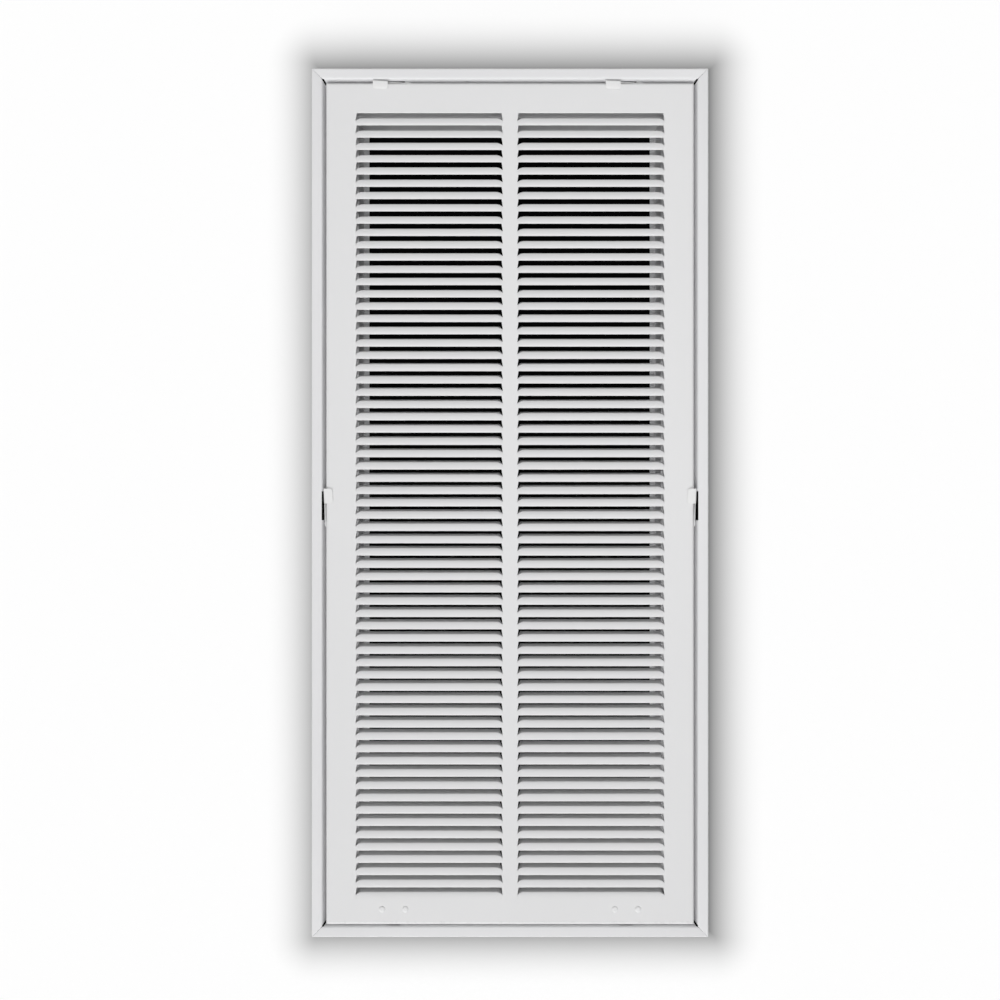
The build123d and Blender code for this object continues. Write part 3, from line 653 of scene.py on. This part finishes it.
def lay_rail(side):
    """One rail: its folded strip with slots, windows and holes left out, ring patches and bent tabs."""
    upright = side in ("left", "right")
    if upright:
        latch_slots, windows, slot_front = (SIDE_SLOT_Z,), (), SIDE_SLOT_FRONT
        rounds = [(end * (OVERALL_H / 2 - SCREW_FROM_END), SCREW_BAND, SCREW_RADIUS) for end in (-1, 1)]
    else:
        latch_slots = (-FITTING_X - TOP_SLOT_SHIFT, FITTING_X - TOP_SLOT_SHIFT) if side == "top" else ()
        windows, slot_front = (-WINDOW_X, WINDOW_X), SLOT_BAND[0]
        rounds = [(end * HOLE_X, TAB_BAND, HOLE_RADIUS) for end in (-1, 1)]
    stops = [middle + end * SLOT_REACH for middle in latch_slots for end in (-1, 1)]
    stops += [middle + end * WINDOW_REACH for middle in windows for end in (-1, 1)]
    stops += [middle + end * (band[1] - band[0]) / 2 for middle, band, _ in rounds for end in (-1, 1)]
    grid = rail_grid((OVERALL_H if upright else OVERALL_W) / 2, np.array(stops))
    keep = np.ones((grid.shape[0] - 1, grid.shape[1] - 1), bool)
    for middle in latch_slots:
        keep &= ~cells_within(grid, span(middle, SLOT_REACH), (slot_front, SLOT_BAND[1]), 2, FLANGE_W)
    for middle in windows:
        keep &= ~cells_within(grid, span(middle, WINDOW_REACH), TAB_BAND, 2, COLLAR_INSET)
    # A small relief is nipped out of both ends of the step wall, where four bends meet in the corner
    step_wall = (section[:-1, 0] > WALL_TOP - 0.3) & (section[1:, 0] < WALL_FOOT)
    keep[np.ix_([0, 1, 2, -3, -2, -1], step_wall)] = False
    patches = []
    for middle, band, radius in rounds:
        half = (band[1] - band[0]) / 2
        axis, flat = (1, FLOOR_DEPTH) if upright else (2, COLLAR_INSET)
        keep &= ~cells_within(grid, span(middle, half), band, axis, flat)
        ring, ring_quads = ring_patch((middle, sum(band) / 2), half, radius)
        level = np.full(len(ring), flat)
        places = (ring[:, 0], ring[:, 1], level) if upright else (ring[:, 0], level, ring[:, 1])
        patches.append((np.stack(places, axis=-1), ring_quads))
    patches.insert(0, (grid.reshape(-1, 3), grid_quads(*grid.shape[:2], keep)))
    patches += [bent_tab(middle) for middle in windows]
    if not upright:
        patches += [corner_tab(end) for end in (-1, 1)]
    first = np.cumsum([0] + [len(points) for points, _ in patches])[:-1]
    points = rail_place(np.concatenate([p for p, _ in patches]), side)
    quads = np.concatenate([q + n for (_, q), n in zip(patches, first)])
    if side in ("top", "left"):
        quads = quads[:, ::-1]
    rail = lay_mesh(f"frame_{side}_skin", points, quads, "frame_paint", thickness=FRAME_SHEET)
    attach(rail, "frame")
    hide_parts(f"frame_rail_{side}")


for side in ("top", "bottom", "left", "right"):
    lay_rail(side)

# %% [markdown]
# ## Louvered door
# The door is one sheet. Its rim is folded back all round, and two banks of louvers are lanced through its
# face. Each louver is cut along the top and at both ends and then pressed back: the sheet rolls over into
# a blade that runs back and a little up. Towards its ends the roll drops and leaves a crack that narrows
# to a point. A boolean of 128 cutters would give those slots flat sides and no roll, so the door is one
# grid. Its columns crowd at the slot ends, and each pitch has the same few rows: the slot's top edge, the
# edge of the roll, and the rows of the strip between them. The photograph shows the door hanging low, so
# its lower rim bulges down over its hinges, which leaves a thinner gap there than at the top.

# %% Sizes of the door
DOOR_SHEET = 0.7
DOOR_BEND = 2.1
DOOR_LIP = 7.2
PITCH = 25.4 * 25 / 64
ROWS = 64
SLOT_HALF = 2.0
CENTRE_BAR = 13.7
SIDE_MARGIN = 24.9
NOTCH_HALF = 5.5
LOW_HANG = 1.6
SLOT_FLARE = 1.0
TIP_DROP = 2.4
CURL = 4.4
BLADE_DEPTH = 7.3
BLADE_RISE = 1.5
BLADE_INSET = 1.5
ROLL_EDGE = 0.25
CROWN_DEPTH = 0.8
CROWN_HEIGHT = 4.6
ROLL = 0.4
SHEARED_EDGE = 0.18
LEG_FADE = 0.75
BANK_MIDDLES = [38, 63]
MARGIN_STEP = 1.9
BEFORE_BEND = 0.6
ABOVE_BANK = (0, 0.42, 1.2)
print("banks of", ROWS, "louvers at a pitch of", round(PITCH, 3))

# %% Columns of the door
bank_start = CENTRE_BAR / 2
bank_end = DOOR_W / 2 - SIDE_MARGIN
from_end = np.array([0, 0.45, 1.2, 2.3, 3.4, CURL])
bank = np.concatenate([bank_start + from_end, BANK_MIDDLES,
                       [FITTING_X - NOTCH_HALF, FITTING_X + NOTCH_HALF], bank_end - from_end[::-1]])
bend = np.linspace(0, np.pi / 2, 5)
rim_out = np.append(DOOR_BEND * np.sin(bend), DOOR_BEND)
rim_back = np.append(DOOR_BEND * (1 - np.cos(bend)), DOOR_LIP)
low_rim_out = rim_out + LOW_HANG * (rim_back < DOOR_LIP)
flat_end_x = DOOR_W / 2 - DOOR_BEND
right_side = np.concatenate([[bank_start - MARGIN_STEP], bank,
                             [bank_end + MARGIN_STEP, flat_end_x - BEFORE_BEND]])
column_x = np.concatenate([-(flat_end_x + rim_out[::-1]), -right_side[::-1],
                           right_side, flat_end_x + rim_out])
column_back = np.concatenate([rim_back[::-1], np.zeros(2 * len(right_side)), rim_back])

# How near each column is to the end of its bank: 1 at the end, 0 from CURL inwards and outside the bank
size_x = np.abs(column_x)
in_bank = (size_x > bank_start - 0.01) & (size_x < bank_end + 0.01)
to_end = np.minimum(size_x - bank_start, bank_end - size_x)
nearness_end = np.where(in_bank, np.clip(1 - to_end / CURL, 0, 1), 0)
outwards = np.sign(column_x) * np.where(size_x > (bank_start + bank_end) / 2, 1, -1)
print("door columns", len(column_x))

# %% Rows of the door
centres = (np.arange(ROWS) - (ROWS - 1) / 2) * PITCH
strip_steps = np.array([0, 0.07, 0.35, 0.6, 0.82, 1.0])
STRIP_ROWS = len(strip_steps)
flat_end_z = DOOR_H / 2 - DOOR_BEND
strip_low = centres - PITCH + SLOT_HALF
low_rows = [-flat_end_z - LOW_HANG + BEFORE_BEND, -flat_end_z + BEFORE_BEND]
high_rows = [centres[-1] + SLOT_HALF + step for step in ABOVE_BANK] + [flat_end_z - BEFORE_BEND]
row_low = np.concatenate([-(flat_end_z + low_rim_out[::-1]), low_rows, np.repeat(strip_low, STRIP_ROWS),
                          high_rows, flat_end_z + rim_out])
row_step = np.concatenate([np.zeros(len(rim_out) + len(low_rows)), np.tile(strip_steps, ROWS),
                           np.zeros(len(high_rows) + len(rim_out))])
flat_rows = len(low_rows) + STRIP_ROWS * ROWS + len(high_rows)
row_back = np.concatenate([rim_back[::-1], np.zeros(flat_rows), rim_back])
is_strip = np.concatenate([np.zeros(len(rim_out) + len(low_rows), bool), np.ones(STRIP_ROWS * ROWS, bool),
                           np.zeros(len(high_rows) + len(rim_out), bool)])
first_strip_row = len(rim_out) + len(low_rows)
roll_rows = first_strip_row + np.arange(ROWS) * STRIP_ROWS + STRIP_ROWS - 1
print("door rows", len(row_low))


# %% The sheet with its slots
def door_sheet():
    """Points of the face and rim, as an array of columns by rows by 3.

    A strip reaches from the slot below it, at step 0, to the roll above it, at step 1. The roll's edge is
    a slot's lower edge, dropped by TIP_DROP times the square of the nearness to the bank's end. Its depth
    is CROWN_DEPTH times the square of what is left of CROWN_HEIGHT, and fades to nothing at the end. The
    sheared lower edge falls back a little. The columns at a bank's end lean out by SLOT_FLARE at the tip.
    """
    near = nearness_end[:, None]
    inside = in_bank[:, None]
    step = row_step[None, :]
    low = row_low[None, :]
    drop = np.where(inside, TIP_DROP * near**2, TIP_DROP)
    height = np.where(is_strip[None, :], PITCH - 2 * SLOT_HALF - ROLL_EDGE * (1 - near) - drop, 0)
    z = low + step * height
    x = column_x[:, None] + (outwards * SLOT_FLARE)[:, None] * near * step
    left = np.clip(1 - (1 - step) * height / CROWN_HEIGHT, 0, 1)
    fade = np.sqrt(np.clip(1 - near**2, 0, 1)) * inside
    crown = np.where(is_strip[None, :], CROWN_DEPTH * fade * left**2, 0)
    sheared = SHEARED_EDGE * (1 - near) * inside * (is_strip & (row_step == 0))[None, :]
    top_edge = SHEARED_EDGE * (1 - near) * inside * (np.arange(len(row_low)) == roll_rows[-1] + 1)[None, :]
    sheared[:, first_strip_row] = 0
    back = np.maximum(column_back[:, None], row_back[None, :]) + crown + sheared + top_edge
    return np.stack([x, FACE + back, z], axis=-1)


sheet_points = door_sheet()
columns, rows = sheet_points.shape[:2]
kept = np.ones((columns - 1, rows - 1), bool)
bank_cells = in_bank[:-1] & in_bank[1:] & (np.sign(column_x[:-1]) == np.sign(column_x[1:]))
kept[np.ix_(bank_cells, roll_rows)] = False
notch_cells = np.isclose(np.abs(column_x[:-1] + column_x[1:]) / 2, FITTING_X)
kept[np.ix_(notch_cells, [0, 1])] = False
print("slots", int(np.sum(~kept)) // int(bank_cells.sum()) * 2, "cells left out", int(np.sum(~kept)))


# %% The blades
def door_blades():
    """Points of all blades behind the roll, as bank columns by rows by 4 by 3.

    From the edge of the roll a curve with two equal legs of length ROLL turns the strip's own direction
    into the blade's: at parameter t it is (1-t)^2 P0 + 2t(1-t) P1 + t^2 P2. The blade then runs straight
    to its rear edge, which is BLADE_INSET shorter at each end.
    """
    chosen = np.flatnonzero(in_bank)
    near = nearness_end[chosen][:, None]
    start = sheet_points[chosen][:, roll_rows]
    slope = 2 * CROWN_DEPTH / CROWN_HEIGHT * np.sqrt(np.clip(1 - near**2, 0, 1))
    leg = ROLL * (1 - LEG_FADE * near)
    upward = np.stack([0 * slope, slope, 1 + 0 * slope], axis=-1) / np.sqrt(1 + slope**2)[..., None]
    corner = start + leg[..., None] * upward
    rear = np.stack([
        start[..., 0] - outwards[chosen][:, None] * (SLOT_FLARE + BLADE_INSET) * near,
        np.full(start.shape[:2], FACE + BLADE_DEPTH),
        np.broadcast_to(centres[None, :] - SLOT_HALF + BLADE_RISE, start.shape[:2]),
    ], axis=-1)
    run = rear - corner
    after = corner + leg[..., None] * run / np.linalg.norm(run, axis=-1, keepdims=True)
    t = np.array([1 / 3, 2 / 3, 1.0])[:, None]
    curve = ((1 - t)**2 * start[..., None, :] + 2 * t * (1 - t) * corner[..., None, :]
             + t**2 * after[..., None, :])
    return chosen, np.concatenate([curve, rear[..., None, :]], axis=2)


blade_columns, blade_points = door_blades()
blade_base = sheet_points[..., 0].size
numbers = blade_base + np.arange(blade_points[..., 0].size).reshape(blade_points.shape[:3])
edge_numbers = blade_columns[:, None] * rows + roll_rows[None, :]
ladder = np.concatenate([edge_numbers[..., None], numbers], axis=2)
joined = np.diff(blade_columns) == 1
joined &= np.sign(column_x[blade_columns[:-1]]) == np.sign(column_x[blade_columns[1:]])
left_rungs, right_rungs = ladder[:-1][joined], ladder[1:][joined]
blade_quads = np.stack([left_rungs[..., :-1], right_rungs[..., :-1], right_rungs[..., 1:],
                        left_rungs[..., 1:]], axis=-1).reshape(-1, 4)
door_points = np.concatenate([sheet_points.reshape(-1, 3), blade_points.reshape(-1, 3)])
door_quads = np.concatenate([grid_quads(columns, rows, kept), blade_quads])
door_skin = lay_mesh("door_skin", door_points, door_quads, "door_paint", thickness=DOOR_SHEET)
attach(door_skin, "door")
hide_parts("louvered_door")

# %% [markdown]
# ## Spring latches
# Each latch is a strip of spring sheet. A rivet holds its foot on the door's lip, its leaf leans out into
# the gap, and a finger tab is folded from its free end over the door's face. It is one developed strip:
# across it runs the fold, and along it the rivet's foot, the leaf and the tab. Cells in front of the leaf
# are left out where there is no tab, and the tab narrows over its last millimetres as a circle does, so
# its corners are round.

# %% Sizes of a latch
LATCH_SHEET = 0.5
LATCH_SEAT = 0.3
LATCH_DEPTH = 4.2
LEAF_HALF = 2.0
LEAF_START = 2.5
LATCH_REACH = 21.5
TAB_HALF = 6.05
TAB_LENGTH = 7.2
TAB_FRONT = 5.2
TAB_CORNER = 1.9
LATCH_LIFT = 1.1
FOOT_ALONG = (-3.2, -2.9, -2.2)
FOOT_WIDTH = (0.55, 0.8, 1.0)
BOW_START = 4.6
BOW_LENGTH = 2.6
TAB_BOW = 0.3
SIDE_LATCH_Z = -5.4

tab_fold = folded_path(np.array([(LEAF_HALF, 0), (-TAB_FRONT, 0), (-TAB_FRONT, TAB_LENGTH)]), (1.1,), 6)
tab_fold = with_stops(tab_fold, 0, (1.2, -1.2, -LEAF_HALF), -0.1, 0.1)
tab_fold = with_stops(tab_fold, 1, TAB_LENGTH - TAB_CORNER * np.array([1, 0.62, 0.3, 0.08]),
                      -TAB_FRONT - 0.1, -TAB_FRONT + 0.1)
tab_steps = TAB_HALF * np.array([-1, -0.93, -0.75, -0.4, 0, 0.4, 0.75, 0.93, 1])
latch_along = np.concatenate([FOOT_ALONG, [0, 2.2, LEAF_START, 3.4, 9.0], LATCH_REACH + tab_steps])
print("latch fold points", len(tab_fold), "stations", len(latch_along))


# %% Lay the four latches
def latch_points():
    """Points of a latch about its rivet as (away from the tab, back, out of the door's edge).

    The leaf rises from its seat by LATCH_LIFT in a straight line with a soft start. On the tab, a place
    at distance d from its end with d < r is drawn in to half width - r + sqrt(r^2 - (r - d)^2), and the
    last part of the tab bows back by a few tenths.
    """
    across, over = tab_fold.T
    left = np.clip(TAB_LENGTH - over, 0, TAB_CORNER)
    round_half = TAB_HALF - TAB_CORNER + np.sqrt(TAB_CORNER**2 - (TAB_CORNER - left)**2)
    along = latch_along[:, None] + 0 * across
    on_tab = (latch_along >= LATCH_REACH - TAB_HALF - 0.01)[:, None]
    along = np.where(on_tab, LATCH_REACH + (along - LATCH_REACH) * round_half / TAB_HALF, along)
    run = LATCH_REACH + TAB_HALF - LEAF_START
    climb = np.clip((along - LEAF_START + 0.5 * np.clip(LEAF_START + 1 - along, 0, 1)) / run, 0, 1)
    foot = np.interp(latch_along, FOOT_ALONG, FOOT_WIDTH)[:, None]
    back = np.where(np.abs(across) <= LEAF_HALF, across * foot, across + 0 * foot)
    back = back + TAB_BOW * np.clip((over - BOW_START) / BOW_LENGTH, 0, 1)**2 * (over > BOW_START)
    out = LATCH_SEAT + LATCH_SHEET + LATCH_LIFT * climb - over
    return np.stack([-along, back, out], axis=-1)


strip = latch_points()
latch_keep = np.ones((strip.shape[0] - 1, strip.shape[1] - 1), bool)
no_tab = latch_along[1:] < LATCH_REACH - TAB_HALF + 0.01
beyond_leaf = (tab_fold[1:, 0] < -LEAF_HALF - 0.01) | (tab_fold[1:, 1] > 0.01)
latch_keep[np.ix_(no_tab, beyond_leaf)] = False
latch_quads = grid_quads(*strip.shape[:2], latch_keep)
used, latch_quads = np.unique(latch_quads, return_inverse=True)
latch_quads = latch_quads.reshape(-1, 4)
away, back, out = strip.reshape(-1, 3)[used].T
latch_y = FACE + LATCH_DEPTH
side_rivet_z = SIDE_LATCH_Z - LATCH_REACH / 2
for latch_name in ("latch_top_left", "latch_top_right", "latch_side_left", "latch_side_right"):
    right = latch_name.endswith("right")
    if "top" in latch_name:
        rivet_x = (FITTING_X if right else -FITTING_X) + LATCH_REACH / 2
        spots = np.stack([rivet_x + away, latch_y + back, DOOR_H / 2 + out], axis=-1)
    else:
        sideways = (DOOR_W / 2 + out) * (1 if right else -1)
        spots = np.stack([sideways, latch_y + back, side_rivet_z - away], axis=-1)
    flipped = latch_name == "latch_side_left"
    latch_skin = lay_mesh(latch_name + "_skin", spots, latch_quads[:, ::-1] if flipped else latch_quads,
                          "latch_paint", thickness=LATCH_SHEET)
    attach(latch_skin, latch_name)
    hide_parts(latch_name)

# %% [markdown]
# ## Rivets
# A set rivet is round about its own axis: a low domed head with the small dimple that the tool leaves, a
# shank, and a tail that is upset on the far side. Its profile turned about the axis gives all of that in
# one closed skin. All the rivets of a node are copies of it at their own places, laid in one mesh.

# %% Lay the rivets
def rivet_profile(shank, grip, head, head_high, tail):
    """Profile (radius, height above the seat) from the tail's middle to the head's middle."""
    foot = [(0.3 * shank, -grip)] if tail == 0 else [
        (0.3 * tail, -grip - 0.7), (0.8 * tail, -grip - 0.66), (tail, -grip - 0.4), (0.96 * tail, -grip)]
    dome = [(1.0, 0.0), (1.0, 0.16), (0.95, 0.38), (0.82, 0.64), (0.62, 0.86), (0.42, 0.98), (0.3, 1.0),
            (0.22, 0.9), (0.1, 0.84)]
    return np.array(foot + [(shank, -grip), (shank, 0)] + [(head * r, head_high * h) for r, h in dome])


def lay_rivets(node_name, body, finish, places, outwards, profile, sides=32):
    """Rivets at their seats, in millimetres, each about its outward direction.

    A point of radius r, height h and angle a is the seat + h w + r (cos a u + sin a v), where u, v and
    the outward direction w are at right angles. The two middles are closed by one flat face each.
    """
    rings = len(profile)
    angle = np.arange(sides) / sides * 2 * np.pi
    i, j = np.meshgrid(np.arange(rings - 1), np.arange(sides), indexing="ij")
    k = (j + 1) % sides
    walls = np.stack([i * sides + j, i * sides + k, (i + 1) * sides + k, (i + 1) * sides + j], axis=-1)
    walls = walls.reshape(-1, 4)
    points, faces = [], []
    for seat, w in zip(places, np.array(outwards, float)):
        u = np.roll(w, 1)
        v = np.cross(w, u)
        around = np.cos(angle)[:, None] * u + np.sin(angle)[:, None] * v
        ring = seat + profile[:, 1, None, None] * w + profile[:, 0, None, None] * around
        first = len(points) * rings * sides
        points.append(ring.reshape(-1, 3))
        faces += (walls + first).tolist()
        faces.append((first + np.arange(sides)[::-1]).tolist())
        faces.append((first + (rings - 1) * sides + np.arange(sides)).tolist())
    piece = lay_mesh(node_name + "_skin", np.concatenate(points), faces, finish, sharp=50.0)
    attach(piece, body)
    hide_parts(node_name)


PIN_Z = -336.6875
LEAF_RIVET_UP = 11.0
DOOR_RIVET_STEP = 9.4
FRAME_RIVET_STEP = 8.0
FRAME_RIVET_Y = -1.4
LATCH_RIVET_STAND = 1.0
CORNER_RIVET_Y = 15.5
CORNER_RIVET_DOWN = 8.0
front, out_right, out_left, up = (0, -1, 0), (1, 0, 0), (-1, 0, 0), (0, 0, 1)
for side, hinge_x in (("left", -FITTING_X), ("right", FITTING_X)):
    lay_rivets(f"hinge_door_rivets_{side}", "door", "rivet_paint",
               [(hinge_x + end * DOOR_RIVET_STEP, FACE, -DOOR_H / 2 + LEAF_RIVET_UP) for end in (-1, 1)],
               [front] * 2, rivet_profile(shank=1.4, grip=1.3, head=2.5, head_high=0.7, tail=2.1))
    lay_rivets(f"hinge_frame_rivets_{side}", "frame", "zinc_steel",
               [(hinge_x + end * FRAME_RIVET_STEP, FRAME_RIVET_Y, PIN_Z + LEAF_RIVET_UP) for end in (-1, 1)],
               [front] * 2, rivet_profile(shank=1.4, grip=1.4, head=2.5, head_high=0.8, tail=0))
latch_x, latch_z = DOOR_W / 2 + LATCH_RIVET_STAND, DOOR_H / 2 + LATCH_RIVET_STAND
lay_rivets("latch_rivets", "door", "rivet_paint", [
    (-FITTING_X + LATCH_REACH / 2, latch_y, latch_z), (FITTING_X + LATCH_REACH / 2, latch_y, latch_z),
    (latch_x, latch_y, side_rivet_z), (-latch_x, latch_y, side_rivet_z),
], [up, up, out_right, out_left], rivet_profile(shank=1.1, grip=1.7, head=1.8, head_high=0.6, tail=1.8))
collar_x = OVERALL_W / 2 - COLLAR_INSET
corner_z = OVERALL_H / 2 - COLLAR_INSET - CORNER_RIVET_DOWN
lay_rivets("frame_corner_rivets", "frame", "rivet_paint",
           [(x, CORNER_RIVET_Y, z) for x in (-collar_x, collar_x) for z in (-corner_z, corner_z)],
           [out_right, out_right, out_left, out_left],
           rivet_profile(shank=1.6, grip=1.65, head=2.5, head_high=0.8, tail=2.1))
